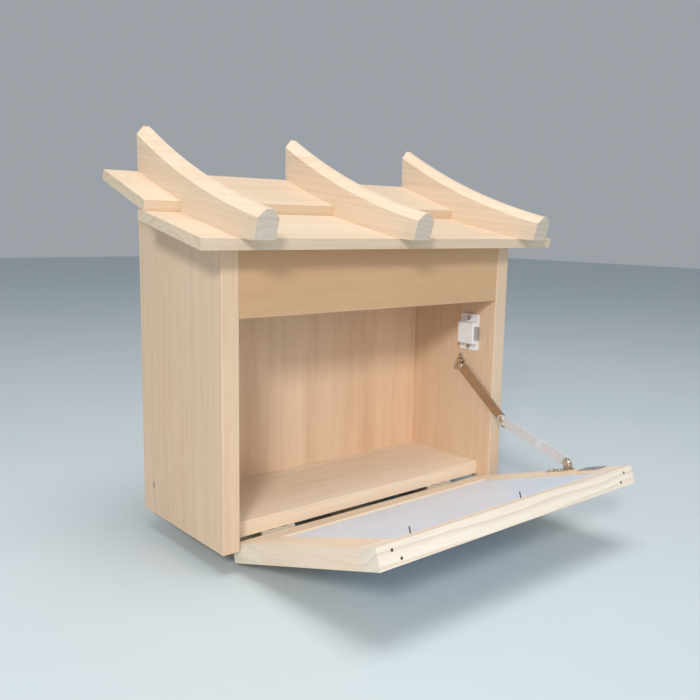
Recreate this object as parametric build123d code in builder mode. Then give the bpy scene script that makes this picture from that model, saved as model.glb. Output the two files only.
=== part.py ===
from build123d import *
import math
import os

# A small roofed wooden cabinet with a drop-down glazed door, held open by a folding stay.
# Millimetres. X runs to the right, Y to the back, Z up. The origin is on the surface that
# the cabinet stands on, under the middle of its carcass. The door is made lying open on its
# stay, which is its stop, and swings up between the sides to close.

# ---- Carcass ----
cabinet_width = 380.0        # over the two side boards
cabinet_depth = 158.0        # front to back of a side board
wall_thickness = 18.0        # side boards, header and back board
stand_height = 22.0          # floor that it stands on to the underside of the sides
wall_front_height = 281.0    # front edge of a side board, up to the roof
floor_thickness = 15.0
floor_lift = 4.0             # underside of the floor board above the underside of the sides
opening_top = 214.0          # underside of the header above the underside of the sides
header_setback = 1.0         # header behind the front edges of the sides
back_recess = 10.0           # back board in front of the rear edges of the sides
edge_round = 0.8             # eased long edges of the outer boards

# ---- Standing runners ----
runner_width = 30.0
runner_inset = 45.0          # outer runners, from the outside of the cabinet
runner_front_gap = 42.0      # from the front of the cabinet
runner_rear_gap = 14.0
runner_screw_inset = 15.0    # from the ends of the floor board's run over a runner
runner_screw_bite = 10.0     # of a runner's screw into the floor board

# ---- Roof ----
roof_thickness = 10.0
front_slope = 11.75          # degrees
rear_slope = 19.0
eaves_overhang = 29.0        # past the front of the sides, level
side_overhang = 36.0
front_board_length = 115.0   # down the slope
roof_lap = 10.0              # rear board over the front board
lap_gap = 0.5                # side board's step behind the front roof board

# ---- Roof battens ----
batten_width = 21.0
batten_shift = -2.0          # of the middle and right battens, along X
batten_front_reach = 20.0    # past the front roof board, level
batten_nose_drop = 1.0       # over that reach
batten_nose_lean = 16.5      # of the end face from upright, degrees
batten_front_height = 26.0   # up the end face
batten_rear_height = 43.0    # plumb, at the rear edge
batten_sag = 8.5             # hollow of the curved top below its chord
batten_chamfer = 7.2

# ---- Door ----
door_thickness = 18.0
door_gap = 1.0               # round the door
open_angle = 72.5            # from shut to the end of the stay
stile_width = 38.0
hinge_rail_width = 46.0
top_rail_width = 20.0
rebate_width = 8.0
rebate_depth = 5.0
panel_thickness = 3.0
panel_gap = 0.5              # round the panel in its rebate

# ---- Hinges ----
hinge_spacing = 224.0        # between the middles of the two hinges
hinge_shift = -5.0           # of both hinges from the middle of the door, along X
hinge_length = 38.0
hinge_knuckle_radius = 2.2
hinge_pin_radius = 1.1
hinge_leaf_width = 12.0
hinge_leaf_thickness = 1.0
leaf_screw_reach = 7.2       # middle of the pin to the screws of a leaf
hinge_drop = 0.4             # knuckle below the face that the leaves lie on
knuckle_count = 5
knuckle_gap = 0.3
pin_running_gap = 0.05

# ---- Folding stay ----
stay_wall_y = 46.5           # upper pivot behind the front of the cabinet
stay_wall_z = 132.0          # upper pivot above the underside of the sides
stay_door_run = 136.0        # lower pivot up the door from its hinge edge
stay_door_rise = 7.5         # lower pivot above the inside face of the door
stay_slack = 2.9             # both arms, pivot to pivot, over the span of the open stay
upper_arm_share = 0.4716     # of the two arms' length
arm_width = 11.0
arm_thickness = 1.5
arm_joggle = 2.0             # sideways set in the lower arm
arm_gap = 0.3                # between arms, heads and brackets
arm_bend_share = 0.55        # of the lower arm's length, to where it is set sideways
joggle_run = 7.0             # length of arm over which it is set
stop_width = 5.0             # lip under the elbow that stops the stay
stop_offset = 5.0            # middle of the lip past the elbow, along the lower arm
wall_bracket_corners = ((-8.5, -6), (15, -6), (3, 17))  # from the upper pivot
wall_screw_offsets = ((3.0, 11.0), (9.5, -2.2))
wall_lip_offset = 1.0        # lip over the upper pivot, behind it
wall_lip_gap = 0.8           # over the upper arm's round end
wall_lip_cover = 1.5         # past the upper arm's left face
foot_plate_width = 11.0
foot_plate_front = 9.0       # past the lower pivot, towards the free end of the door
foot_plate_rear = 23.0
foot_screw_setbacks = (17.0, 7.5)
foot_screw_side = 1.5        # screws to the left of the foot plate's middle
stay_plate_thickness = 1.5
stay_plate_round = 2.0
stay_boss_height = 0.9       # keeps the upper arm off the wall bracket
rivet_radius = 1.9
rivet_head_radius = 3.6
rivet_head_height = 1.5
rivet_head_round = 1.05
rivet_tail_radius = 2.6
rivet_tail_height = 0.6

# ---- Magnetic catch ----
catch_plate_width = 27.0
catch_plate_height = 43.0
catch_plate_thickness = 2.0
catch_plate_bottom = 152.5   # above the underside of the sides
catch_plate_round = 2.0
catch_front_gap = 6.0        # catch behind the inside face of the shut door
housing_lift = -0.5          # middle of the housing above the middle of the plate
housing_round = 1.2
housing_depth = 8.5          # out from the plate
housing_width = 24.0
housing_height = 25.0
housing_shell = 1.6
pole_thickness = 1.2
pole_height = 15.0
pole_length = 18.0
magnet_thickness = 3.0
magnet_setback = 1.0         # magnet inside the edges of the pole plates
pole_strike_gap = 0.4        # pole tips to strike plate with the door shut
strike_width = 18.0
strike_height = 24.0
strike_thickness = 1.0
strike_edge_gap = 0.5        # in from the side of the door
strike_round = 1.5

# ---- Fastenings ----
dowel_radius = 3.0
dowel_length = 30.0
dowel_in_wall = 12.0
floor_dowel_inset = 25.0     # from the front and back of the floor board's run
header_dowel_inset = 16.0    # from the header's lower and upper edges
back_dowel_inset = 30.0
frame_dowel_insets = (11.0, 26.0)                # from the side of the door
frame_nail_places = ((15.0, 5.0), (23.0, 13.0))  # from its side, and from its outside face
hole_ease = 0.05             # a hole's radius over the dowel, nail or screw in it
nail_radius = 0.9
nail_head_radius = 1.3
nail_head_height = 0.8
roof_nail_length = 32.0
frame_nail_length = 45.0
roof_nail_inset = 14.0       # from the lines of the sides, laps and rear edge
brad_xs = (-124.0, 12.0)
brad_radius = 0.6
brad_length = 15.0
brad_stand = 5.5             # left standing above the face
screw_radius = 1.3
screw_head_radius = 2.7
screw_head_height = 1.4
screw_slot_width = 0.6
screw_slot_depth = 0.6
screw_slot_share = 1.3       # slot's length over the head's radius
screw_clearance = 0.15       # radius of a plate's hole over the screw in it
screw_sink_cut = 1.1         # head radius less shank end of a sunk head
small_screw_length = 11.0
long_screw_length = 28.0
batten_screw_bite = 10.0     # of a screw into a roof batten
long_screw_radius = 2.0
long_screw_head_radius = 4.0
long_screw_head_height = 3.0
end_gap = 0.5                # past the end of a dowel, nail or screw in a blind hole

# ---- Planes and levels that follow ----
half_width = cabinet_width / 2
inner_half = half_width - wall_thickness
front_y = -cabinet_depth / 2
rear_y = cabinet_depth / 2
wall_base = stand_height
wall_front_top = wall_base + wall_front_height
floor_under = wall_base + floor_lift
floor_top = floor_under + floor_thickness
header_under = wall_base + opening_top
door_inner_y = front_y + door_thickness
floor_front_y = door_inner_y + door_gap
back_front_y = rear_y - back_recess - wall_thickness

hinge_y = door_inner_y + door_gap / 2
hinge_z = floor_under - hinge_knuckle_radius - hinge_drop

door_half = inner_half - door_gap
door_length = header_under - door_gap - floor_under
stile_sight = stile_width - rebate_width
hinge_rail_sight = hinge_rail_width - rebate_width
top_rail_sight = top_rail_width - rebate_width

os.makedirs("parts", exist_ok=True)


def save(builder, name):
    """Labels a finished piece and writes it as its own STEP file."""
    builder.part.label = name
    export_step(builder.part, f"parts/{name}.step")


def move(point, degrees, along, up=0.0):
    """A (y, z) point moved along a line at so many degrees to +Y, and square to that line."""
    a = math.radians(degrees)
    return (
        point[0] + along * math.cos(a) - up * math.sin(a),
        point[1] + along * math.sin(a) + up * math.cos(a),
    )


def heading(start, end):
    """The direction from one (y, z) point to another, in degrees from +Y."""
    return math.degrees(math.atan2(end[1] - start[1], end[0] - start[0]))


def turned(start, end):
    """The turn from one direction to another, in degrees, the short way round."""
    return (end - start + 180) % 360 - 180


def distance(start, end):
    return math.hypot(end[0] - start[0], end[1] - start[1])


def height_on(point, degrees, y):
    """The height at y of the line through a (y, z) point at so many degrees to +Y."""
    return point[1] + (y - point[0]) * math.tan(math.radians(degrees))


def lengthwise(x, y, z):
    """A plane square to X at a point, for a hole or a pin that runs along X."""
    return Plane(origin=(x, y, z), x_dir=(0, 1, 0), z_dir=(1, 0, 0))


def bore(planes, radius, depth):
    """Cuts a blind hole down from each plane, against its normal."""
    with Locations(*planes):
        Cylinder(radius, depth, align=(Align.CENTER, Align.CENTER, Align.MAX), mode=Mode.SUBTRACT)


def pin(planes, radius, length):
    """Adds a round bar down from each plane, against its normal."""
    with Locations(*planes):
        Cylinder(radius, length, align=(Align.CENTER, Align.CENTER, Align.MAX))


def head(planes, radius, height):
    """Adds a round head up from each plane, along its normal."""
    with Locations(*planes):
        Cylinder(radius, height, align=(Align.CENTER, Align.CENTER, Align.MIN))


def cross_slot(planes, radius, top):
    """Cuts a cross for a screwdriver into the head over each plane."""
    with Locations(*[plane.offset(top) for plane in planes]):
        slot_length = radius * screw_slot_share
        for size in ((slot_length, screw_slot_width), (screw_slot_width, slot_length)):
            Box(
                *size, screw_slot_depth,
                align=(Align.CENTER, Align.CENTER, Align.MAX), mode=Mode.SUBTRACT,
            )


def screws(planes, length=small_screw_length, radius=screw_radius):
    """Adds a flat-bottomed, cross-slotted screw whose head sits on each plane."""
    pin(planes, radius, length)
    head(planes, screw_head_radius, screw_head_height)
    cross_slot(planes, screw_head_radius, screw_head_height)


def flange_holes(planes, depth):
    """Cuts the clearance holes of screws through a metal or plastic plate."""
    bore(planes, screw_radius + screw_clearance, depth)


def pilot_holes(planes, through):
    """Cuts the blind holes for small screws that have first gone through a plate."""
    depth = small_screw_length - through + end_gap
    bore([plane.offset(-through) for plane in planes], screw_radius + hole_ease, depth)


# ---- Roof lines, as (y, z) ----
eaves_low = (front_y - eaves_overhang,
             wall_front_top - eaves_overhang * math.tan(math.radians(front_slope)))
front_end = move(eaves_low, front_slope, front_board_length)
eaves_high = move(eaves_low, front_slope, 0, roof_thickness)
lap_low = move(eaves_low, front_slope, front_board_length - roof_lap, roof_thickness)
lap_high = move(lap_low, rear_slope, 0, roof_thickness)
rear_board_length = (rear_y - lap_low[0]) / math.cos(math.radians(rear_slope))
wall_step_y = front_end[0] + lap_gap


def under_front(y):
    return height_on(eaves_low, front_slope, y)


def under_rear(y):
    return height_on(lap_low, rear_slope, y)


# ---- Door plane: x to the right, y up the door, z out through its outside face ----
def opened(y, z, degrees=open_angle):
    """A (y, z) point of the shut door after the door has swung down about its hinge."""
    reach = distance((hinge_y, hinge_z), (y, z))
    return move((hinge_y, hinge_z), heading((hinge_y, hinge_z), (y, z)) + degrees, reach)


door_tilt = 90.0 + open_angle
door_foot = opened(door_inner_y, floor_under)
door_out = move((0, 0), door_tilt + 90, 1)
door_plane = Plane(
    origin=(0, *door_foot), x_dir=(1, 0, 0), z_dir=(0, *door_out),
)


def on_door(x, run, depth=0.0):
    """A plane at a point of the door, its normal pointing up off the inside face."""
    at = move(door_foot, door_tilt, run)
    at = move(at, door_tilt + 90, depth)
    return Plane(origin=(x, *at), x_dir=(1, 0, 0), z_dir=(0, -door_out[0], -door_out[1]))


def on_door_end(x, run, depth, outward):
    """A plane square to the door's length, its normal pointing out of one of its ends."""
    at = move(door_foot, door_tilt, run)
    at = move(at, door_tilt + 90, depth)
    end = move((0, 0), door_tilt, outward)
    return Plane(origin=(x, *at), x_dir=(1, 0, 0), z_dir=(0, *end))


# ---- Stay pivots, as (y, z) ----
wall_pivot = (front_y + stay_wall_y, wall_base + stay_wall_z)
door_pivot_shut = (door_inner_y + stay_door_rise, floor_under + stay_door_run)
door_pivot = opened(*door_pivot_shut)
arms_length = distance(wall_pivot, door_pivot) + stay_slack
upper_arm_length = upper_arm_share * arms_length
lower_arm_length = arms_length - upper_arm_length


def elbow_of(foot):
    """Where the two arms meet when the lower one ends at this (y, z) point."""
    span = distance(wall_pivot, foot)
    cosine = (upper_arm_length**2 + span**2 - lower_arm_length**2) / (2 * upper_arm_length * span)
    turn = heading(wall_pivot, foot) + math.degrees(math.acos(cosine))
    return move(wall_pivot, turn, upper_arm_length)


elbow = elbow_of(door_pivot)
elbow_shut = elbow_of(door_pivot_shut)
upper_tilt = heading(wall_pivot, elbow)
lower_tilt = heading(elbow, door_pivot)

# Levels across the stay, from the right-hand side board inwards.
wall_x = inner_half
boss_x = wall_x - stay_plate_thickness - stay_boss_height
upper_arm_x = boss_x - arm_gap - arm_thickness
lower_arm_x = upper_arm_x - arm_gap - arm_thickness
lower_end_x = lower_arm_x + arm_joggle
door_ear_x = lower_end_x - arm_gap - stay_plate_thickness

# ---- Where the dowels, nails and screws go ----
floor_mid_z = floor_under + floor_thickness / 2
header_mid_y = front_y + header_setback + wall_thickness / 2
back_mid_y = back_front_y + wall_thickness / 2
dowel_rows = {
    "floor": [
        (floor_front_y + floor_dowel_inset, floor_mid_z),
        (back_front_y - floor_dowel_inset, floor_mid_z),
    ],
    "header": [
        (header_mid_y, header_under + header_dowel_inset),
        (header_mid_y, under_front(header_mid_y) - header_dowel_inset),
    ],
    "back": [
        (back_mid_y, floor_under + back_dowel_inset),
        (back_mid_y, (floor_under + under_rear(back_mid_y)) / 2),
        (back_mid_y, under_rear(back_mid_y) - back_dowel_inset),
    ],
}
wall_sides = {"left": -1, "right": 1}

nail_x = half_width - wall_thickness / 2
front_nail_runs = (
    eaves_overhang + roof_nail_inset, front_board_length - roof_lap - roof_nail_inset,
)
rear_nail_runs = (roof_lap + roof_nail_inset, rear_board_length - roof_nail_inset)


def roof_nail_planes(side):
    """The planes of the nails that hold both roof boards down on one side board."""
    planes = []
    for start, tilt, runs in (
        (eaves_high, front_slope, front_nail_runs),
        (lap_high, rear_slope, rear_nail_runs),
    ):
        normal = move((0, 0), tilt + 90, 1)
        for run in runs:
            at = move(start, tilt, run)
            planes.append(Plane(origin=(side * nail_x, *at), z_dir=(0, *normal)))
    return planes


def cut_nails(planes):
    """Cuts the holes of nails with sunk heads."""
    bore(planes, nail_radius + hole_ease, roof_nail_length + end_gap)
    bore(planes, nail_head_radius + hole_ease, nail_head_height)


batten_centres = {
    "left": -half_width + batten_width / 2,
    "middle": batten_shift,
    "right": half_width - batten_width / 2 + batten_shift,
}
batten_screw_run = eaves_overhang / 2
batten_screw_length = roof_thickness + batten_screw_bite
under_eaves = move((0, 0), front_slope - 90, 1)
batten_screw_at = move(eaves_low, front_slope, batten_screw_run)
batten_screw_planes = [
    Plane(origin=(x, *batten_screw_at), z_dir=(0, *under_eaves)) for x in batten_centres.values()
]

runner_x = half_width - runner_inset - runner_width / 2
runner_xs = {"left": -runner_x, "middle": 0.0, "right": runner_x}
runner_front_y = front_y + runner_front_gap
runner_rear_y = rear_y - runner_rear_gap
runner_height = floor_under
runner_screw_ys = (runner_front_y + runner_screw_inset, back_front_y - runner_screw_inset)
runner_screw_sink = runner_height + runner_screw_bite - long_screw_length


def runner_planes(x):
    """The planes of the screws that hold the runner at x."""
    return [Plane(origin=(x, y, runner_screw_sink), z_dir=(0, 0, -1)) for y in runner_screw_ys]


runner_screw_planes = [plane for x in runner_xs.values() for plane in runner_planes(x)]

hinge_xs = {"left": hinge_shift - hinge_spacing / 2, "right": hinge_shift + hinge_spacing / 2}
leaf_screw_offsets = (-hinge_length / 4, hinge_length / 4)


def box_leaf_planes(x):
    z = floor_under - hinge_leaf_thickness
    return [
        Plane(origin=(x + dx, hinge_y + leaf_screw_reach, z), z_dir=(0, 0, -1))
        for dx in leaf_screw_offsets
    ]


def door_leaf_planes(x):
    depth = leaf_screw_reach - door_gap / 2
    return [
        on_door_end(x + dx, -hinge_leaf_thickness, depth, -1) for dx in leaf_screw_offsets
    ]


box_hinge_screw_planes = [plane for x in hinge_xs.values() for plane in box_leaf_planes(x)]
door_hinge_screw_planes = [plane for x in hinge_xs.values() for plane in door_leaf_planes(x)]

stay_wall_screw_planes = [
    Plane(
        origin=(wall_x - stay_plate_thickness, wall_pivot[0] + dy, wall_pivot[1] + dz),
        x_dir=(0, 1, 0), z_dir=(-1, 0, 0),
    )
    for dy, dz in wall_screw_offsets
]

foot_plate_x = door_ear_x + stay_plate_thickness - foot_plate_width
foot_mid_x = foot_plate_x + foot_plate_width / 2
stay_door_screw_planes = [
    on_door(foot_mid_x - foot_screw_side, stay_door_run - setback, -stay_plate_thickness)
    for setback in foot_screw_setbacks
]

catch_front_y = door_inner_y + catch_front_gap
catch_plate_z = wall_base + catch_plate_bottom
catch_plate_x = wall_x - catch_plate_thickness
catch_mid_y = catch_front_y + catch_plate_width / 2
catch_plate_mid_z = catch_plate_z + catch_plate_height / 2
housing_mid_z = catch_plate_mid_z + housing_lift
housing_z = housing_mid_z - housing_height / 2
pole_x = catch_plate_x - housing_depth + housing_shell
magnet_x = pole_x + pole_thickness
pole_tip_y = door_inner_y + strike_thickness + pole_strike_gap
catch_screw_planes = [
    Plane(origin=(catch_plate_x, catch_mid_y, z), x_dir=(0, 1, 0), z_dir=(-1, 0, 0))
    for z in (
        (catch_plate_z + housing_z) / 2,
        (catch_plate_z + catch_plate_height + housing_z + housing_height) / 2,
    )
]

strike_x = door_half - strike_edge_gap - strike_width / 2
strike_run = housing_mid_z - floor_under
strike_screw_planes = [on_door(strike_x, strike_run, -strike_thickness)]

# ---- Door frame joints ----
frame_dowel_depth = (rebate_depth + door_thickness) / 2
frame_dowel_top = hinge_rail_width + dowel_length / 2
frame_dowel_planes = [
    on_door_end(side * (door_half - inset), frame_dowel_top, frame_dowel_depth, 1)
    for side in (-1, 1) for inset in frame_dowel_insets
]
frame_nail_planes = [
    on_door_end(side * (door_half - inset), door_length, depth, 1)
    for side in (-1, 1) for inset, depth in frame_nail_places
]
brad_run = door_length - top_rail_sight - brad_radius
brad_planes = [on_door(x, brad_run, -brad_stand) for x in brad_xs]


def cut_dowels(rows, x, depth):
    """Cuts the dowel holes of these rows into a board's end or face at x."""
    outward = 1 if depth > 0 else -1
    planes = [
        Plane(origin=(x, y, z), x_dir=(0, 1, 0), z_dir=(-outward, 0, 0))
        for row in rows for y, z in dowel_rows[row]
    ]
    bore(planes, dowel_radius + hole_ease, abs(depth))


# ==== Carcass ====
for name, side in wall_sides.items():
    inner_x = side * inner_half
    with BuildPart() as side_board:
        with BuildSketch(Plane.YZ.offset(min(side * half_width, inner_x))):
            Polygon(
                (front_y, wall_base), (rear_y, wall_base), (rear_y, under_rear(rear_y)),
                (wall_step_y, under_rear(wall_step_y)), (wall_step_y, under_front(wall_step_y)),
                (front_y, wall_front_top),
                align=None,
            )
        extrude(amount=wall_thickness)
        corners = side_board.edges().filter_by(Axis.Z).group_by(Axis.Y)
        chamfer(corners[0], edge_round)
        cut_dowels(dowel_rows, inner_x, side * (dowel_in_wall + end_gap))
        cut_nails(roof_nail_planes(side))
        if name == "right":
            pilot_holes(stay_wall_screw_planes, stay_plate_thickness)
            pilot_holes(catch_screw_planes, catch_plate_thickness)
            bore([lengthwise(wall_x, *wall_pivot).offset(end_gap)], rivet_radius + 1, 2 * end_gap)
    save(side_board, f"side_board_{name}")


def board_between(profile, rows, extra=()):
    """A board that spans between the sides, dowelled into both, from its (y, z) outline."""
    with BuildPart() as panel:
        with BuildSketch(Plane.YZ):
            Polygon(*profile, align=None)
        extrude(amount=inner_half, both=True)
        depth = dowel_length - dowel_in_wall + end_gap
        cut_dowels(rows, -inner_half, depth)
        cut_dowels(rows, inner_half, -depth)
        for planes, cutter in extra:
            cutter(planes)
    return panel


def cut_runner_screws(planes):
    bore(planes, long_screw_radius + hole_ease, long_screw_length + end_gap)


def cut_box_leaf_screws(planes):
    pilot_holes(planes, hinge_leaf_thickness)


floor_board = board_between(
    [(floor_front_y, floor_under), (back_front_y, floor_under),
     (back_front_y, floor_top), (floor_front_y, floor_top)],
    ["floor"],
    [(runner_screw_planes, cut_runner_screws), (box_hinge_screw_planes, cut_box_leaf_screws)],
)
save(floor_board, "floor_board")

header_front_y = front_y + header_setback
header_rear_y = header_front_y + wall_thickness
header_board = board_between(
    [(header_front_y, header_under), (header_rear_y, header_under),
     (header_rear_y, under_front(header_rear_y)), (header_front_y, under_front(header_front_y))],
    ["header"],
)
save(header_board, "header_board")

back_rear_y = back_front_y + wall_thickness
back_board = board_between(
    [(back_front_y, floor_under), (back_rear_y, floor_under),
     (back_rear_y, under_rear(back_rear_y)), (back_front_y, under_rear(back_front_y))],
    ["back"],
)
save(back_board, "back_board")

for row, points in dowel_rows.items():
    with BuildPart() as dowels:
        for side in (-1, 1):
            x_end = side * (inner_half + dowel_in_wall)
            planes = [
                Plane(origin=(x_end, y, z), x_dir=(0, 1, 0), z_dir=(side, 0, 0)) for y, z in points
            ]
            pin(planes, dowel_radius, dowel_length)
    save(dowels, f"{row}_dowels")

for name, x in runner_xs.items():
    with BuildPart() as runner:
        with BuildSketch(Plane.XY):
            with Locations((x, (runner_front_y + runner_rear_y) / 2)):
                Rectangle(runner_width, runner_rear_y - runner_front_y)
        extrude(amount=runner_height)
        chamfer(runner.faces().sort_by(Axis.Z)[0].edges(), edge_round)
        bore(runner_planes(x), long_screw_radius + hole_ease, long_screw_length)
        with Locations(*[plane.offset(-end_gap) for plane in runner_planes(x)]):
            Cylinder(
                long_screw_head_radius + end_gap, runner_height,
                align=(Align.CENTER, Align.CENTER, Align.MIN), mode=Mode.SUBTRACT,
            )
    save(runner, f"base_runner_{name}")

with BuildPart() as runner_screws:
    seats = [plane.offset(-end_gap) for plane in runner_screw_planes]
    pin(seats, long_screw_radius, long_screw_length - end_gap)
    head(seats, long_screw_head_radius, long_screw_head_height)
    cross_slot(seats, long_screw_head_radius, long_screw_head_height)
save(runner_screws, "base_runner_screws")

# ==== Roof ====
roof_half = half_width + side_overhang
for name, corner, tilt, length in (
    ("front", eaves_low, front_slope, front_board_length),
    ("rear", lap_low, rear_slope, rear_board_length),
):
    with BuildPart() as roof_board:
        with BuildSketch(Plane.YZ):
            Polygon(
                corner, move(corner, tilt, length),
                move(corner, tilt, length, roof_thickness), move(corner, tilt, 0, roof_thickness),
                align=None,
            )
        extrude(amount=roof_half, both=True)
        for side in (-1, 1):
            cut_nails(roof_nail_planes(side))
        if name == "front":
            bore(batten_screw_planes, screw_radius + hole_ease, roof_thickness)
    save(roof_board, f"roof_board_{name}")

with BuildPart() as roof_board_nails:
    for side in (-1, 1):
        nail_planes = roof_nail_planes(side)
        pin(nail_planes, nail_radius, roof_nail_length)
        pin(nail_planes, nail_head_radius, nail_head_height)
save(roof_board_nails, "roof_board_nails")

batten_toe = (eaves_high[0] - batten_front_reach, eaves_high[1] - batten_nose_drop)
batten_brow = move(batten_toe, batten_nose_lean, 0, batten_front_height)
batten_heel = (rear_y, height_on(lap_high, rear_slope, rear_y))
batten_peak = (rear_y, batten_heel[1] + batten_rear_height)
chord_mid = ((batten_brow[0] + batten_peak[0]) / 2, (batten_brow[1] + batten_peak[1]) / 2)
batten_hollow = move(chord_mid, heading(batten_brow, batten_peak), 0, -batten_sag)
for name, x in batten_centres.items():
    with BuildPart() as batten:
        with BuildSketch(Plane.YZ.offset(x - batten_width / 2)):
            with BuildLine():
                Polyline(
                    batten_brow, batten_toe, eaves_high, lap_low, lap_high, batten_heel,
                    batten_peak,
                )
                ThreePointArc(batten_brow, batten_hollow, batten_peak)
            make_face()
        extrude(amount=batten_width)
        chamfer(batten.edges().filter_by(GeomType.CIRCLE), batten_chamfer)
        bore(batten_screw_planes, screw_radius + hole_ease, batten_screw_length + end_gap)
    save(batten, f"roof_batten_{name}")

with BuildPart() as batten_screws:
    screws(batten_screw_planes, length=batten_screw_length)
save(batten_screws, "roof_batten_screws")

# ==== Door frame ====
for name, side in wall_sides.items():
    stile_length = door_length - hinge_rail_width - top_rail_width
    outer_x = side * door_half
    with BuildPart() as stile:
        with BuildSketch(door_plane):
            with Locations((outer_x - side * stile_width / 2, hinge_rail_width + stile_length / 2)):
                Rectangle(stile_width, stile_length)
        extrude(amount=door_thickness)
        with BuildSketch(door_plane):
            with Locations(
                (outer_x - side * (stile_width - rebate_width / 2),
                 hinge_rail_width + stile_length / 2)
            ):
                Rectangle(rebate_width, stile_length)
        extrude(amount=rebate_depth, mode=Mode.SUBTRACT)
        bore(frame_dowel_planes, dowel_radius + hole_ease, dowel_length)
        bore(frame_nail_planes, nail_radius + hole_ease, frame_nail_length + end_gap)
        if name == "right":
            pilot_holes(stay_door_screw_planes, stay_plate_thickness)
            pilot_holes(strike_screw_planes, strike_thickness)
    save(stile, f"door_stile_{name}")

panel_half = door_half - stile_sight
for name, start, width, rebate_side in (
    ("hinge", 0.0, hinge_rail_width, 1), ("top", door_length - top_rail_width, top_rail_width, -1),
):
    rebate_mid = start + (width - rebate_width / 2 if rebate_side > 0 else rebate_width / 2)
    with BuildPart() as rail:
        with BuildSketch(door_plane):
            with Locations((0, start + width / 2)):
                Rectangle(2 * door_half, width)
        extrude(amount=door_thickness)
        with BuildSketch(door_plane):
            with Locations((0, rebate_mid)):
                Rectangle(2 * panel_half, rebate_width)
        extrude(amount=rebate_depth, mode=Mode.SUBTRACT)
        if name == "hinge":
            bore(frame_dowel_planes, dowel_radius + hole_ease, dowel_length + end_gap)
            pilot_holes(door_hinge_screw_planes, hinge_leaf_thickness)
        else:
            bore(frame_nail_planes, nail_radius + hole_ease, top_rail_width)
            bore(frame_nail_planes, nail_head_radius + hole_ease, nail_head_height)
            bore(brad_planes, brad_radius + hole_ease, brad_length + end_gap)
    save(rail, f"door_{name}_rail")

with BuildPart() as frame_dowels:
    pin(frame_dowel_planes, dowel_radius, dowel_length)
save(frame_dowels, "door_frame_dowels")

with BuildPart() as frame_nails:
    pin(frame_nail_planes, nail_radius, frame_nail_length)
    pin(frame_nail_planes, nail_head_radius, nail_head_height)
save(frame_nails, "door_frame_nails")

panel_start = hinge_rail_sight + panel_gap
panel_end = door_length - top_rail_sight - panel_gap
with BuildPart() as door_panel:
    with BuildSketch(door_plane.offset(rebate_depth - panel_thickness)):
        with Locations((0, (panel_start + panel_end) / 2)):
            Rectangle(2 * (panel_half - panel_gap), panel_end - panel_start)
    extrude(amount=panel_thickness)
    bore(brad_planes, brad_radius + hole_ease, brad_length)
save(door_panel, "door_panel")

with BuildPart() as panel_brads:
    pin(brad_planes, brad_radius, brad_length)
save(panel_brads, "door_panel_brads")

# ==== Hinges ====
knuckle_length = (hinge_length - (knuckle_count - 1) * knuckle_gap) / knuckle_count


def knuckle_planes(x, parity):
    """The left-hand ends of the knuckles that belong to one leaf."""
    first = x - hinge_length / 2
    return [
        lengthwise(first + i * (knuckle_length + knuckle_gap), hinge_y, hinge_z)
        for i in range(knuckle_count) if i % 2 == parity
    ]


def hinge_leaf(x, parity, pin_clearance, tilt):
    """One leaf and its knuckles. The tilt is that of the leaf, away from the pin, to +Y."""
    flip = 1 if parity == 0 else -1
    normal = move((0, 0), tilt + 90 * flip, 1)
    corner = move((hinge_y, hinge_z), tilt + 90 * flip, hinge_knuckle_radius + hinge_drop)
    face = Plane(origin=(x, *corner), x_dir=(1, 0, 0), z_dir=(0, *normal))
    towards = 1 if face.y_dir.dot(Vector(0, *move((0, 0), tilt, 1))) > 0 else -1
    inner_edge = hinge_knuckle_radius + hinge_drop + knuckle_gap
    with BuildPart() as leaf:
        with BuildSketch(face):
            with Locations((0, towards * (inner_edge + hinge_leaf_width) / 2)):
                Rectangle(hinge_length, hinge_leaf_width - inner_edge)
            for plane in knuckle_planes(x, parity):
                with Locations((plane.origin.X - x + knuckle_length / 2, towards * inner_edge / 2)):
                    Rectangle(knuckle_length, inner_edge)
        extrude(amount=-hinge_leaf_thickness)
        head(knuckle_planes(x, parity), hinge_knuckle_radius, knuckle_length)
        with Locations(lengthwise(x, hinge_y, hinge_z)):
            Cylinder(hinge_pin_radius + pin_clearance, 2 * hinge_length, mode=Mode.SUBTRACT)
        planes = box_leaf_planes(x) if parity == 0 else door_leaf_planes(x)
        flange_holes(planes, hinge_leaf_thickness)
    return leaf


for name, x in hinge_xs.items():
    box_leaf = hinge_leaf(x, 0, 0.0, 0.0)
    save(box_leaf, f"hinge_{name}_box_leaf")
    door_leaf = hinge_leaf(x, 1, pin_running_gap, 180.0 + open_angle)
    save(door_leaf, f"hinge_{name}_door_leaf")
    with BuildPart() as hinge_pin:
        with Locations(lengthwise(x, hinge_y, hinge_z)):
            Cylinder(hinge_pin_radius, hinge_length)
    save(hinge_pin, f"hinge_{name}_pin")

with BuildPart() as box_hinge_screws:
    screws(box_hinge_screw_planes)
save(box_hinge_screws, "hinge_box_screws")

with BuildPart() as door_hinge_screws:
    screws(door_hinge_screw_planes)
save(door_hinge_screws, "hinge_door_screws")

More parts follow.
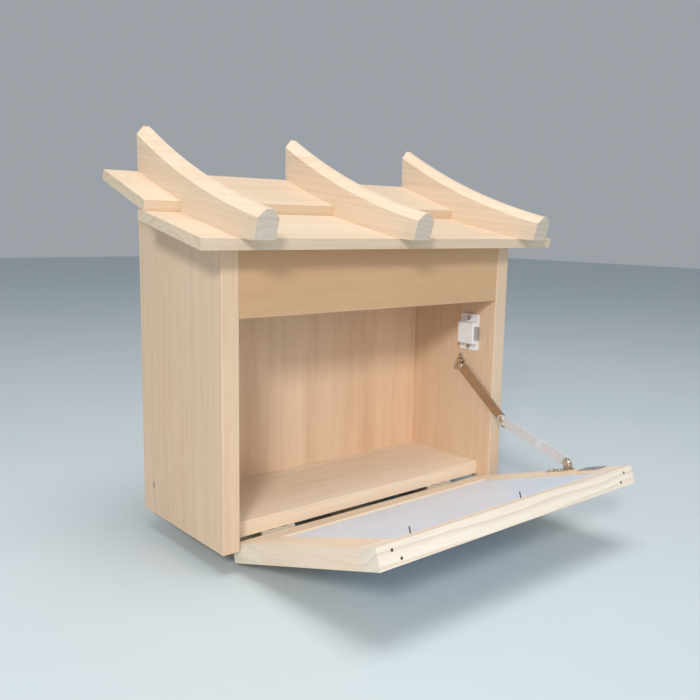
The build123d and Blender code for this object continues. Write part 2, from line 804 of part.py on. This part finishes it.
# ==== Folding stay ====
def arm(start, tilt, length, x, eases, joggle=0.0, stop_tilt=None):
    """A flat arm from a pivot, along a tilt, its left face at x, set sideways on its way.

    Each end is round and has a rivet hole. A stop is a lip that is folded to the left, under
    the edge of the next arm.
    """
    along = move((0, 0), tilt, 1)
    side_view = Plane(origin=(x, *start), x_dir=(0, *along), z_dir=(0, along[1], -along[0]))
    across = side_view.y_dir.X
    bend_start = arm_bend_share * length
    bend_end = bend_start + joggle_run
    near, far = -arm_width, length + arm_width
    end = move(start, tilt, length)
    with BuildPart() as strip:
        with BuildSketch(side_view):
            Polygon(
                (near, 0), (bend_start, 0), (bend_end, across * joggle), (far, across * joggle),
                (far, across * (joggle + arm_thickness)),
                (bend_end, across * (joggle + arm_thickness)),
                (bend_start, across * arm_thickness), (near, across * arm_thickness),
                align=None,
            )
        extrude(amount=arm_width, both=True)
        flat_view = Plane(origin=(x - arm_width, *start), x_dir=(0, *along), z_dir=(1, 0, 0))
        with BuildSketch(flat_view):
            with Locations((length / 2, 0)):
                SlotCenterToCenter(length, arm_width)
        extrude(amount=3 * arm_width, mode=Mode.INTERSECT)
        if stop_tilt is not None:
            stop_view = Plane(
                origin=(x, *end), x_dir=(0, *move((0, 0), stop_tilt, 1)), z_dir=(1, 0, 0),
            )
            stop_start = arm_width / 2 + arm_gap
            with BuildSketch(stop_view):
                with Locations(((stop_start + arm_thickness) / 2, -stop_offset)):
                    Rectangle(stop_start + arm_thickness, stop_width)
            extrude(amount=arm_thickness)
            with BuildSketch(stop_view):
                with Locations((stop_start + arm_thickness / 2, -stop_offset)):
                    Rectangle(arm_thickness, stop_width)
            extrude(amount=-(arm_gap + arm_thickness))
        for at, ease in zip((start, end), eases):
            with Locations(lengthwise(x, *at)):
                Cylinder(rivet_radius + ease, 4 * arm_width, mode=Mode.SUBTRACT)
    return strip


def rivet(at, left_x, right_x, tail_radius=0.0):
    """A rivet with its domed head to the left of left_x and its shank as far as right_x."""
    with BuildPart() as stud:
        with Locations(lengthwise(left_x, *at)):
            Cylinder(rivet_radius, right_x - left_x, align=(Align.CENTER, Align.CENTER, Align.MIN))
            Cylinder(
                rivet_head_radius, rivet_head_height,
                align=(Align.CENTER, Align.CENTER, Align.MAX),
            )
        fillet(stud.faces().sort_by(Axis.X)[0].edges(), rivet_head_round)
        if tail_radius:
            head([lengthwise(right_x, *at)], tail_radius, rivet_tail_height)
    return stud


lip_rise = arm_width / 2 + wall_lip_gap
lip_reach = wall_x - upper_arm_x + wall_lip_cover
with BuildPart() as wall_bracket:
    with BuildSketch(lengthwise(wall_x, *wall_pivot)):
        Polygon(*wall_bracket_corners, align=None)
    extrude(amount=-stay_plate_thickness)
    fillet(wall_bracket.edges().filter_by(Axis.X), stay_plate_round)
    with BuildSketch(lengthwise(wall_x, *wall_pivot)):
        with Locations((wall_lip_offset, lip_rise + stay_plate_thickness / 2)):
            Rectangle(arm_width, stay_plate_thickness)
    extrude(amount=-lip_reach)
    with Locations(lengthwise(wall_x - stay_plate_thickness, *wall_pivot)):
        Cylinder(
            rivet_head_radius, stay_boss_height, align=(Align.CENTER, Align.CENTER, Align.MAX),
        )
        Cylinder(rivet_radius + hole_ease, 2 * arm_width, mode=Mode.SUBTRACT)
    flange_holes(stay_wall_screw_planes, stay_plate_thickness)
save(wall_bracket, "stay_wall_bracket")

with BuildPart() as stay_wall_screws:
    screws(stay_wall_screw_planes)
save(stay_wall_screws, "stay_wall_screws")

wall_rivet = rivet(wall_pivot, upper_arm_x - arm_gap, wall_x)
save(wall_rivet, "stay_wall_rivet")

upper_arm = arm(
    wall_pivot, upper_tilt, upper_arm_length, upper_arm_x, (pin_running_gap, hole_ease),
    stop_tilt=lower_tilt + 90,
)
save(upper_arm, "stay_upper_arm")

# The elbow is one rivet. Its tail stays with the upper arm and its head with the lower one.
with BuildPart() as elbow_tail:
    pin([lengthwise(upper_arm_x + arm_thickness, *elbow)], rivet_radius, arm_thickness)
    head([lengthwise(upper_arm_x + arm_thickness, *elbow)], rivet_head_radius, rivet_tail_height)
save(elbow_tail, "stay_elbow_rivet_tail")

lower_arm = arm(
    elbow, lower_tilt, lower_arm_length, lower_arm_x, (hole_ease, pin_running_gap),
    joggle=arm_joggle,
)
save(lower_arm, "stay_lower_arm")

elbow_head = rivet(elbow, lower_arm_x, lower_arm_x + arm_thickness)
save(elbow_head, "stay_elbow_rivet_head")

# The foot of the stay: a plate on the stile, with one ear folded up beside the lower arm.
foot_mid_run = stay_door_run + (foot_plate_front - foot_plate_rear) / 2
with BuildPart() as door_bracket:
    with BuildSketch(on_door(foot_mid_x, foot_mid_run)):
        RectangleRounded(foot_plate_width, foot_plate_front + foot_plate_rear, stay_plate_round)
    extrude(amount=stay_plate_thickness)
    with BuildSketch(
        Plane(origin=(door_ear_x, *door_pivot), x_dir=(0, *move((0, 0), door_tilt, 1)),
              z_dir=(1, 0, 0))
    ):
        Circle(arm_width / 2)
        with Locations((0, stay_door_rise / 2)):
            Rectangle(arm_width, stay_door_rise)
    extrude(amount=stay_plate_thickness)
    with Locations(lengthwise(door_ear_x, *door_pivot)):
        Cylinder(rivet_radius + hole_ease, 2 * arm_width, mode=Mode.SUBTRACT)
    flange_holes(stay_door_screw_planes, stay_plate_thickness)
save(door_bracket, "stay_door_bracket")

with BuildPart() as stay_door_screws:
    screws(stay_door_screw_planes)
save(stay_door_screws, "stay_door_screws")

door_rivet = rivet(
    door_pivot, door_ear_x, lower_end_x + arm_thickness + arm_gap, tail_radius=rivet_tail_radius,
)
save(door_rivet, "stay_door_rivet")

# ==== Magnetic catch ====
with BuildPart() as catch_plate:
    with BuildSketch(lengthwise(catch_plate_x, catch_mid_y, catch_plate_mid_z)):
        RectangleRounded(catch_plate_width, catch_plate_height, catch_plate_round)
    extrude(amount=catch_plate_thickness)
    flange_holes(catch_screw_planes, catch_plate_thickness)
save(catch_plate, "catch_plate")

housing_left_x = catch_plate_x - housing_depth
housing_mid_x = housing_left_x + housing_depth / 2
pocket_width = magnet_thickness + 2 * pole_thickness + 2 * hole_ease
pocket_mid_x = pole_x + pole_thickness + magnet_thickness / 2
pocket_depth = pole_length - (catch_front_y - pole_tip_y) + end_gap
with BuildPart() as catch_housing:
    with BuildSketch(Plane(origin=(housing_mid_x, catch_front_y, housing_mid_z),
                           x_dir=(1, 0, 0), z_dir=(0, -1, 0))):
        Rectangle(housing_depth, housing_height)
    extrude(amount=-housing_width)
    fillet(catch_housing.faces().sort_by(Axis.X)[0].edges(), housing_round)
    with BuildSketch(Plane(origin=(pocket_mid_x, catch_front_y, housing_mid_z),
                           x_dir=(1, 0, 0), z_dir=(0, -1, 0))):
        Rectangle(pocket_width, pole_height + 2 * hole_ease)
    extrude(amount=-pocket_depth, mode=Mode.SUBTRACT)
save(catch_housing, "catch_housing")

with BuildPart() as catch_poles:
    for x in (pole_x, magnet_x + magnet_thickness):
        with Locations((x, pole_tip_y, housing_mid_z)):
            Box(
                pole_thickness, pole_length, pole_height,
                align=(Align.MIN, Align.MIN, Align.CENTER),
            )
save(catch_poles, "catch_pole_plates")

magnet_length = pole_length - 2 * (catch_front_y - pole_tip_y)
with BuildPart() as catch_magnet:
    with Locations((magnet_x, catch_front_y + magnet_setback, housing_mid_z)):
        Box(
            magnet_thickness, magnet_length, pole_height - magnet_setback,
            align=(Align.MIN, Align.MIN, Align.CENTER),
        )
save(catch_magnet, "catch_magnet")

with BuildPart() as catch_screws:
    screws(catch_screw_planes)
save(catch_screws, "catch_screws")

with BuildPart() as strike_plate:
    with BuildSketch(on_door(strike_x, strike_run)):
        RectangleRounded(strike_width, strike_height, strike_round)
    extrude(amount=strike_thickness)
    flange_holes(strike_screw_planes, strike_thickness)
    with Locations(*strike_screw_planes):
        Cone(
            screw_head_radius - screw_sink_cut, screw_head_radius + hole_ease, strike_thickness,
            align=(Align.CENTER, Align.CENTER, Align.MAX), mode=Mode.SUBTRACT,
        )
save(strike_plate, "strike_plate")

with BuildPart() as strike_screw:
    pin(strike_screw_planes, screw_radius, small_screw_length)
    with Locations(*strike_screw_planes):
        Cone(
            screw_head_radius - screw_sink_cut - hole_ease, screw_head_radius, strike_thickness,
            align=(Align.CENTER, Align.CENTER, Align.MAX),
        )
    cross_slot(strike_screw_planes, screw_head_radius, 0)
save(strike_screw, "strike_screw")

# ==== Joint sizes, for the record ====
upper_swing = turned(upper_tilt, heading(wall_pivot, elbow_shut))
lower_swing = turned(lower_tilt, heading(elbow_shut, door_pivot_shut))
print("hinge", hinge_y, hinge_z, "wall pivot", wall_pivot, "door pivot", door_pivot)
print("to shut the door turns", -open_angle, "the upper arm", upper_swing)
print("and the lower arm, about its pivot on the door,", lower_swing + open_angle)
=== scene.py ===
import math

import bpy
from mathutils import Matrix, Vector

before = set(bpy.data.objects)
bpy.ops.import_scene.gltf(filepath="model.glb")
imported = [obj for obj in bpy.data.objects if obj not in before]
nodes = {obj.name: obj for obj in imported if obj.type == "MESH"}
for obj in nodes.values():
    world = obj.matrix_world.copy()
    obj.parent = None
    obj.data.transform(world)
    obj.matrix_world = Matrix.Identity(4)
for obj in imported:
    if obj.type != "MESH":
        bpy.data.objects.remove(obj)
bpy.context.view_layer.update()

scene = bpy.context.scene


# ---- Directions that the boards' grain follows ----
FLAT = 1e-5           # metres along X that an edge in the YZ plane may have


def long_edge(node):
    """The direction of a node's longest straight edge in the YZ plane."""
    mesh = nodes[node].data
    best = Vector((0, 1, 0))
    longest = 0.0
    for edge in mesh.edges:
        a, b = (mesh.vertices[i].co for i in edge.vertices)
        way = b - a
        if abs(way.x) < FLAT and way.length > longest:
            longest, best = way.length, way.normalized()
    return best if best.y > 0 else -best


RIGHT = Vector((1, 0, 0))
BACK = Vector((0, 1, 0))
UP = Vector((0, 0, 1))
MOSTLY = 0.9          # share of a direction that makes it count as along X
DOOR_RUN = long_edge("door_stile_left")
FRONT_SLOPE = long_edge("roof_board_front")


# ---- Node trees ----
BEVEL_SAMPLES = 4
EDGE_LEAN = 0.72      # cosine between the rounded and the flat normal on a sharp edge
MID_GREY = (0.5, 0.5, 0.5)


class Tree:
    """A short way to write a material's nodes."""

    def __init__(self, name):
        self.material = bpy.data.materials.new(name)
        self.material.use_nodes = True
        self.nodes = self.material.node_tree.nodes
        self.links = self.material.node_tree.links
        self.shader = self.nodes["Principled BSDF"]

    def put(self, socket, value):
        if isinstance(value, bpy.types.NodeSocket):
            self.links.new(value, socket)
        elif value is not None:
            socket.default_value = value

    def node(self, kind, output=0, inputs=(), **settings):
        made = self.nodes.new(kind)
        for key, value in settings.items():
            setattr(made, key, value)
        pairs = inputs.items() if isinstance(inputs, dict) else enumerate(inputs)
        for key, value in pairs:
            self.put(made.inputs[key], value)
        return made.outputs[output]

    def place(self):
        return self.node("ShaderNodeTexCoord", "Object")

    def math(self, operation, a, b=None):
        return self.node("ShaderNodeMath", 0, [a, b], operation=operation)

    def vector(self, operation, a, b=None, output=0):
        return self.node("ShaderNodeVectorMath", output, [a, b], operation=operation)

    def dot(self, a, b):
        return self.vector("DOT_PRODUCT", a, tuple(b), output="Value")

    def times(self, vector, sizes):
        return self.vector("MULTIPLY", vector, tuple(sizes))

    def noise(self, vector, scale, detail=2.0, rough=0.5, output="Fac"):
        return self.node("ShaderNodeTexNoise", output, {
            "Vector": vector, "Scale": scale, "Detail": detail, "Roughness": rough,
        })

    def mix(self, amount, a, b, blend="MIX"):
        return self.node("ShaderNodeMix", 2, {0: amount, 6: a, 7: b},
                         data_type="RGBA", blend_type=blend)

    def remap(self, value, low, high, to_low=0.0, to_high=1.0, smooth=False):
        return self.node("ShaderNodeMapRange", 0, {
            0: value, 1: low, 2: high, 3: to_low, 4: to_high,
        }, interpolation_type="SMOOTHSTEP" if smooth else "LINEAR")

    def ramp(self, value, stops):
        made = self.nodes.new("ShaderNodeValToRGB")
        points = made.color_ramp.elements
        while len(points) < len(stops):
            points.new(0.5)
        for point, (at, shade) in zip(points, stops):
            point.position = at
            point.color = (shade, shade, shade, 1)
        self.put(made.inputs[0], value)
        return made.outputs[0]

    def edge(self, radius):
        """How near a sharp edge a point is, from 0 on a flat to 1 on the edge."""
        rounded = self.node("ShaderNodeBevel", 0, {"Radius": radius}, samples=BEVEL_SAMPLES)
        flat = self.node("ShaderNodeNewGeometry", "True Normal")
        lean = self.vector("DOT_PRODUCT", rounded, flat, output="Value")
        return self.remap(lean, 1.0, EDGE_LEAN)

    def finish(self, color, roughness, height=None, strength=0.2, depth=0.0004, bevel=0.0005):
        self.put(self.shader.inputs["Base Color"], color)
        self.put(self.shader.inputs["Roughness"], roughness)
        normal = None
        if bevel:
            normal = self.node("ShaderNodeBevel", 0, {"Radius": bevel}, samples=BEVEL_SAMPLES)
        if height is not None:
            normal = self.node("ShaderNodeBump", 0, {
                "Strength": strength, "Distance": depth, "Height": height, "Normal": normal,
            })
        self.put(self.shader.inputs["Normal"], normal)
        return self.material


def rgb(r, g, b):
    """A linear colour from an sRGB one out of 255."""
    def line(c):
        c /= 255
        return c / 12.92 if c <= 0.04045 else ((c + 0.055) / 1.055) ** 2.4
    return (line(r), line(g), line(b), 1.0)


def shade(color, share):
    """A color with its red, green and blue scaled to a share."""
    return tuple(c * share for c in color[:3]) + (1,)


PALE = rgb(235, 211, 183)
DARK = rgb(206, 163, 124)
END = rgb(226, 207, 181)
# Lighter than the other door wood: painted light for the brighter light near the table at the
# door's free end.
CREAM_PAINTED_LIGHT = rgb(246, 235, 219)
WALL = rgb(231, 203, 174)
BATTEN = rgb(232, 213, 190)
LINEN = rgb(241, 223, 200)
SALMON = rgb(212, 174, 134)
ROOF = rgb(224, 204, 179)
COOL = rgb(214, 201, 184)
RAIL_END = rgb(241, 227, 207)


def wood(name, grain, pith, seed, ring=0.0055, light=PALE, dark=DARK, contrast=0.55,
         sway=0.006, knots=(), streak=0.35, end=END):
    """Planed softwood. The rings are shells round a pith line that lies along the grain."""
    t = Tree(name)
    side = BACK if abs(grain.x) > MOSTLY else RIGHT
    rise = grain.cross(side).normalized()
    at = t.place()
    across, over, along = (t.dot(at, way) for way in (side, rise, grain))
    q = t.node("ShaderNodeCombineXYZ", 0, [across, over, along])
    q = t.vector("ADD", q, (seed * 0.731, seed * 1.137, seed * 0.419))
    drift = t.noise(t.times(q, (1, 1, 0.16)), 16, detail=2.5, rough=0.55, output="Color")
    drift = t.vector("SUBTRACT", drift, MID_GREY)
    drift = t.times(drift, (sway * 4, sway * 4, 0))
    ripple = t.noise(t.times(q, (1, 1, 0.09)), 120, detail=1.5, output="Color")
    ripple = t.times(t.vector("SUBTRACT", ripple, MID_GREY), (sway * 0.28, sway * 0.28, 0))
    shell = t.node("ShaderNodeCombineXYZ", 0, [across, over, 0.0])
    shell = t.vector("SUBTRACT", shell, (pith[0], pith[1], 0))
    shell = t.vector("ADD", t.vector("ADD", shell, drift), ripple)
    radius = t.vector("LENGTH", shell, output="Value")
    knot_dark = None
    for x, y, z, size in knots:
        offset = t.vector("SUBTRACT", at, (x, y, z))
        stretch = t.node("ShaderNodeCombineXYZ", 0, [
            t.dot(offset, side), t.dot(offset, rise),
            t.math("MULTIPLY", t.dot(offset, grain), 0.55),
        ])
        gap = t.vector("LENGTH", stretch, output="Value")
        swell = t.remap(gap, size * 5, 0, 0, size * 1.6, smooth=True)
        radius = t.math("ADD", radius, swell)
        spot = t.remap(gap, size, size * 0.45, 0, 1, smooth=True)
        knot_dark = spot if knot_dark is None else t.math("MAXIMUM", knot_dark, spot)
    wide = t.noise(t.node("ShaderNodeCombineXYZ", 0, [radius, seed * 0.37, 0.0]), 28, detail=1)
    phase = t.math("ADD", t.math("DIVIDE", radius, ring), t.math("MULTIPLY", wide, 3.0))
    late = t.ramp(t.math("FRACT", phase), [
        (0.0, 0.55), (0.1, 0.08), (0.5, 0.16), (0.82, 0.55), (0.93, 1.0), (1.0, 0.6),
    ])
    bold = t.noise(t.node("ShaderNodeCombineXYZ", 0, [radius, 0.7 + seed, 0.0]), 70, detail=1)
    late = t.math("MULTIPLY", late, t.remap(bold, 0.3, 0.7, 0.35, 1.0))
    fibre = t.noise(t.times(q, (1, 1, 0.022)), 950, detail=2, rough=0.65)
    band = t.noise(t.times(q, (1, 1, 0.045)), 85, detail=3, rough=0.6)
    cloud = t.noise(t.times(q, (1, 1, 0.4)), 9, detail=2)
    color = t.mix(t.math("MULTIPLY", late, contrast), light, dark)
    color = t.mix(t.remap(band, 0.42, 0.78, 0, streak), color, dark)
    color = t.mix(t.remap(fibre, 0.5, 0.8, 0, 0.22), color, shade(dark, 0.8))
    color = t.mix(t.remap(fibre, 0.45, 0.2, 0, 0.16), color, rgb(246, 228, 198))
    color = t.mix(0.5, color, t.ramp(cloud, [(0.3, 0.42), (0.7, 0.58)]), blend="OVERLAY")
    facing = t.node("ShaderNodeTexCoord", "Normal")
    cut = t.math("ABSOLUTE", t.dot(facing, grain))
    cut = t.remap(cut, 0.75, 0.95)
    pores = t.noise(q, 700, detail=2, rough=0.7)
    grey = t.mix(t.math("MULTIPLY", late, 0.7), end, shade(end, 0.72))
    grey = t.mix(t.remap(pores, 0.45, 0.75, 0, 0.35), grey, shade(end, 0.6))
    color = t.mix(cut, color, grey)
    if knot_dark is not None:
        color = t.mix(t.math("MULTIPLY", knot_dark, 0.6), color, rgb(150, 104, 68))
    color = t.mix(t.math("MULTIPLY", t.edge(0.0007), 0.25), color, rgb(250, 234, 208))
    height = t.math("ADD", t.math("MULTIPLY", fibre, 0.6), t.math("MULTIPLY", late, -0.5))
    height = t.math("ADD", height, t.math("MULTIPLY", t.math("MULTIPLY", pores, cut), 0.8))
    rough = t.remap(fibre, 0.2, 0.8, 0.42, 0.6)
    rough = t.math("ADD", rough, t.math("MULTIPLY", cut, 0.2))
    t.shader.inputs["Specular IOR Level"].default_value = 0.35
    return t.finish(color, rough, height, strength=0.22, depth=0.00035)


def metal(name, tint, rough=0.22, brushed=None, dull=0.12, scratch=0.12, metallic=1.0):
    """Plated metal, with faint rubbing along one direction and small dull clouds."""
    t = Tree(name)
    way = brushed or RIGHT
    at = t.place()
    side = way.orthogonal().normalized()
    rise = way.cross(side)
    q = t.node("ShaderNodeCombineXYZ", 0, [t.dot(at, side), t.dot(at, rise), t.dot(at, way)])
    rub = t.noise(t.times(q, (1, 1, 0.03)), 2600, detail=2, rough=0.6)
    cloud = t.noise(at, 130, detail=3, rough=0.6)
    color = t.mix(t.remap(cloud, 0.35, 0.75, 0, dull * 2), tint,
                  shade(tint, 0.72))
    # Near-white towards sharp edges: a painted highlight.
    color = t.mix(t.math("MULTIPLY", t.edge(0.0003), 0.5), color, rgb(250, 248, 240))
    gloss = t.math("ADD", t.remap(rub, 0.3, 0.7, rough - scratch / 2, rough + scratch / 2),
                   t.math("MULTIPLY", cloud, dull))
    t.shader.inputs["Metallic"].default_value = metallic
    return t.finish(color, gloss, rub, strength=0.12, depth=0.00006, bevel=0.00025)


def plastic(name, tint, rough=0.28, speckle=0.03):
    t = Tree(name)
    at = t.place()
    cloud = t.noise(at, 60, detail=3)
    grit = t.noise(at, 2400, detail=2, rough=0.6)
    color = t.mix(t.remap(cloud, 0.35, 0.7, 0, 0.35), tint, shade(tint, 0.86))
    # Whiter towards sharp edges: a painted highlight.
    color = t.mix(t.math("MULTIPLY", t.edge(0.0005), 0.4), color, rgb(255, 255, 252))
    t.shader.inputs["Subsurface Weight"].default_value = 0.08
    t.shader.inputs["Subsurface Radius"].default_value = (0.0012, 0.001, 0.0008)
    t.shader.inputs["Subsurface Scale"].default_value = 0.5
    return t.finish(color, t.remap(grit, 0.3, 0.7, rough - speckle, rough + speckle * 2), grit,
                    strength=0.06, depth=0.00008, bevel=0.0004)


def frosted(name):
    t = Tree(name)
    at = t.place()
    cloud = t.noise(at, 14, detail=3)
    grit = t.noise(at, 1900, detail=3, rough=0.65)
    scuff = t.noise(t.times(at, (1, 0.12, 0.12)), 240, detail=2)
    color = t.mix(t.remap(cloud, 0.35, 0.7, 0, 1), rgb(213, 225, 241), rgb(221, 231, 243))
    color = t.mix(t.remap(scuff, 0.62, 0.85, 0, 0.25), color, rgb(236, 240, 242))
    t.shader.inputs["Specular IOR Level"].default_value = 0.5
    t.shader.inputs["Subsurface Weight"].default_value = 0.15
    t.shader.inputs["Subsurface Radius"].default_value = (0.002, 0.0022, 0.0025)
    t.shader.inputs["Subsurface Scale"].default_value = 0.5
    return t.finish(color, t.remap(grit, 0.3, 0.7, 0.3, 0.44), grit,
                    strength=0.1, depth=0.0001, bevel=0.0003)


def dress(node, material):
    mesh = nodes[node].data
    mesh.materials.clear()
    mesh.materials.append(material)


# ---- The boards ----
# Each look sets the rings' spacing in metres and how strongly they show.
SIDE_LOOK = dict(ring=0.013, contrast=0.24, streak=0.24, light=WALL)
ROOF_LOOK = dict(ring=0.008, contrast=0.2, streak=0.18, light=ROOF)
BATTEN_LOOK = dict(ring=0.007, contrast=0.26, streak=0.2, light=BATTEN, end=COOL)
DOOR_LOOK = dict(ring=0.009, contrast=0.22, streak=0.16, light=LINEN, end=RAIL_END)
SIDE_KNOT = (-0.19, 0.057, 0.052, 0.0032)      # its place and its size

# Node: the grain's direction, the place of the rings' centre across it, a seed and the look.
boards = {
    "side_board_left": (UP, (-0.19, 0.20), 1, dict(SIDE_LOOK, knots=(SIDE_KNOT,))),
    "side_board_right": (UP, (0.17, 0.25), 2, SIDE_LOOK),
    # The back board's colour is lighter and more orange than the other boards': painted light
    # standing in for the warm bounce light inside the box.
    "back_board": (UP, (0.05, 0.30), 3, dict(
        ring=0.01, contrast=0.34, streak=0.24, light=rgb(248, 216, 184))),
    # The floor board's colour is lighter: painted light standing in for light reaching the inside
    # of the box.
    "floor_board": (RIGHT, (-0.1, -0.06), 4, dict(
        ring=0.009, contrast=0.2, streak=0.16, light=rgb(248, 231, 210))),
    "header_board": (RIGHT, (-0.16, 0.22), 5, dict(ring=0.006, contrast=0.3, light=SALMON)),
    "base_runner_left": (BACK, (-0.1, 0.1), 6, {}),
    "base_runner_middle": (BACK, (0.1, 0.1), 7, {}),
    "base_runner_right": (BACK, (0.2, 0.1), 8, {}),
    "roof_board_front": (RIGHT, (-0.05, 0.25), 9, ROOF_LOOK),
    "roof_board_rear": (RIGHT, (0.05, 0.30), 10, ROOF_LOOK),
    "roof_batten_left": (FRONT_SLOPE, (-0.18, 0.2), 11, BATTEN_LOOK),
    "roof_batten_middle": (FRONT_SLOPE, (0.03, 0.24), 12, BATTEN_LOOK),
    "roof_batten_right": (FRONT_SLOPE, (0.18, 0.22), 13, BATTEN_LOOK),
    "door_stile_left": (DOOR_RUN, (-0.2, 0.02), 14, DOOR_LOOK),
    "door_stile_right": (DOOR_RUN, (0.2, 0.05), 15, DOOR_LOOK),
    "door_hinge_rail": (RIGHT, (-0.1, -0.05), 16, DOOR_LOOK),
    # The top rail's cream colour is painted light: the door's free end sits low, where more light
    # falls.
    "door_top_rail": (RIGHT, (-0.3, 0.02), 17, dict(
        ring=0.011, contrast=0.5, sway=0.009, light=CREAM_PAINTED_LIGHT, dark=rgb(176, 138, 102), streak=0.1,
        end=RAIL_END)),
}
for node, (grain, pith, seed, extra) in boards.items():
    dress(node, wood("wood_" + node, grain, pith, seed, **extra))
for node, grain in (("floor_dowels", RIGHT), ("header_dowels", RIGHT), ("back_dowels", RIGHT),
                    ("door_frame_dowels", DOOR_RUN)):
    dress(node, wood("beech_" + node, grain, (0.1, 0.1), 30, ring=0.002, contrast=0.3))

NICKEL = rgb(214, 208, 196)
ZINC = rgb(206, 206, 204)
HINGE_TINT = rgb(214, 206, 190)
LOWER_ARM_TINT = rgb(222, 225, 230)
# The upper arm's brownish tint is painted shade and a painted reflection of the wood; it is the
# same plated steel as the lower arm.
UPPER_ARM_PAINTED_SHADE = rgb(190, 174, 156)
IRON = rgb(112, 98, 86)
for node in ("hinge_left_box_leaf", "hinge_left_door_leaf", "hinge_left_pin",
             "hinge_right_box_leaf", "hinge_right_door_leaf", "hinge_right_pin"):
    dress(node, metal("hinge_" + node, HINGE_TINT, rough=0.4, metallic=0.6))
for node, way in (("stay_wall_bracket", UP), ("stay_upper_arm", None), ("stay_lower_arm", None),
                  ("stay_door_bracket", DOOR_RUN), ("stay_wall_rivet", UP),
                  ("stay_elbow_rivet_tail", UP), ("stay_elbow_rivet_head", UP),
                  ("stay_door_rivet", UP)):
    tint, finish = NICKEL, dict(rough=0.18)
    if node == "stay_lower_arm":
        # Paler and less metallic than plated steel: it stands in for a bright reflection.
        tint, finish = LOWER_ARM_TINT, dict(rough=0.42, metallic=0.25)
    elif node == "stay_upper_arm":
        # Brownish: painted shade and a painted reflection of the wood.
        tint, finish = UPPER_ARM_PAINTED_SHADE, dict(rough=0.24)
    dress(node, metal("nickel_" + node, tint, brushed=way or long_edge(node), **finish))
for node in ("door_frame_nails", "door_panel_brads"):
    dress(node, metal("iron_" + node, IRON, rough=0.42, dull=0.3))
for node in ("roof_board_nails", "roof_batten_screws", "base_runner_screws", "hinge_box_screws",
             "hinge_door_screws", "strike_screw", "catch_screws", "stay_wall_screws",
             "stay_door_screws", "strike_plate"):
    dress(node, metal("zinc_" + node, ZINC, rough=0.26, dull=0.2))
dress("catch_pole_plates", metal("zinc_pole_plates", ZINC, rough=0.45, metallic=0.5))
dress("catch_plate", plastic("white_plate", rgb(248, 251, 255)))
dress("catch_housing", plastic("white_housing", rgb(247, 251, 255)))
dress("catch_magnet", plastic("ferrite", rgb(44, 44, 46), rough=0.5))
dress("door_panel", frosted("frosted_panel"))


# ---- Floor, lights and camera ----
FLOOR_HALF = 6        # metres, half the side of the floor
SKY = (0.84, 0.90, 0.97, 1)
SKY_STRENGTH = 0.40
MIDDLE = (0.0, 0.0, 0.2)      # what the lamps point at, near the middle of the object
SENSOR_WIDTH = 36.0           # mm


def floor_material():
    t = Tree("studio_floor")
    at = t.place()
    soft = t.noise(at, 3, detail=2)
    color = t.mix(soft, rgb(200, 212, 217), rgb(208, 218, 223))
    return t.finish(color, 0.55, bevel=0)


mesh = bpy.data.meshes.new("studio_floor")
corners = [(x * FLOOR_HALF, y * FLOOR_HALF, 0) for x, y in ((-1, -1), (1, -1), (1, 1), (-1, 1))]
mesh.from_pydata(corners, [], [(0, 1, 2, 3)])
floor = bpy.data.objects.new("studio_floor", mesh)
scene.collection.objects.link(floor)
mesh.materials.append(floor_material())

world = bpy.data.worlds.new("studio")
world.use_nodes = True
backdrop = world.node_tree.nodes["Background"]
backdrop.inputs["Color"].default_value = SKY
backdrop.inputs["Strength"].default_value = SKY_STRENGTH
scene.world = world


def lamp(name, place, target, size, power, color=(1, 1, 1)):
    data = bpy.data.lights.new(name, "AREA")
    data.shape = "RECTANGLE"
    data.size, data.size_y = size
    data.energy = power
    data.color = color
    made = bpy.data.objects.new(name, data)
    scene.collection.objects.link(made)
    made.location = place
    made.rotation_euler = (Vector(target) - Vector(place)).to_track_quat("-Z", "Y").to_euler()


lamp("key", (-1.43, -1.39, 1.12), MIDDLE, (0.3, 0.3), 22, (1.0, 0.97, 0.93))
lamp("fill", (-0.4, -2.2, 1.0), MIDDLE, (1.4, 1.0), 5, (0.92, 0.96, 1.0))
lamp("top", (-0.2, -0.45, 2.3), (0.0, 0.0, 0.25), (1.4, 1.1), 28, (1.0, 0.98, 0.95))

YAW, PITCH, ROLL = (math.radians(a) for a in (39.93, -9.0, 1.05))
EYE = Vector((-0.5422, -0.6726, 0.3203))
FOCAL_PIXELS = 797.84
FRAME_PIXELS = 700
ahead = Vector((math.sin(YAW) * math.cos(PITCH), math.cos(YAW) * math.cos(PITCH), math.sin(PITCH)))
level = Vector((math.cos(YAW), -math.sin(YAW), 0))
upward = level.cross(ahead)
cam_x = level * math.cos(ROLL) + upward * math.sin(ROLL)
cam_y = -level * math.sin(ROLL) + upward * math.cos(ROLL)
data = bpy.data.cameras.new("camera")
data.sensor_width = SENSOR_WIDTH
data.lens = FOCAL_PIXELS / FRAME_PIXELS * data.sensor_width
camera = bpy.data.objects.new("camera", data)
scene.collection.objects.link(camera)
turn = Matrix((cam_x, cam_y, -ahead)).transposed().to_4x4()
camera.matrix_world = Matrix.Translation(EYE) @ turn
scene.camera = camera
scene.view_settings.view_transform = "Standard"
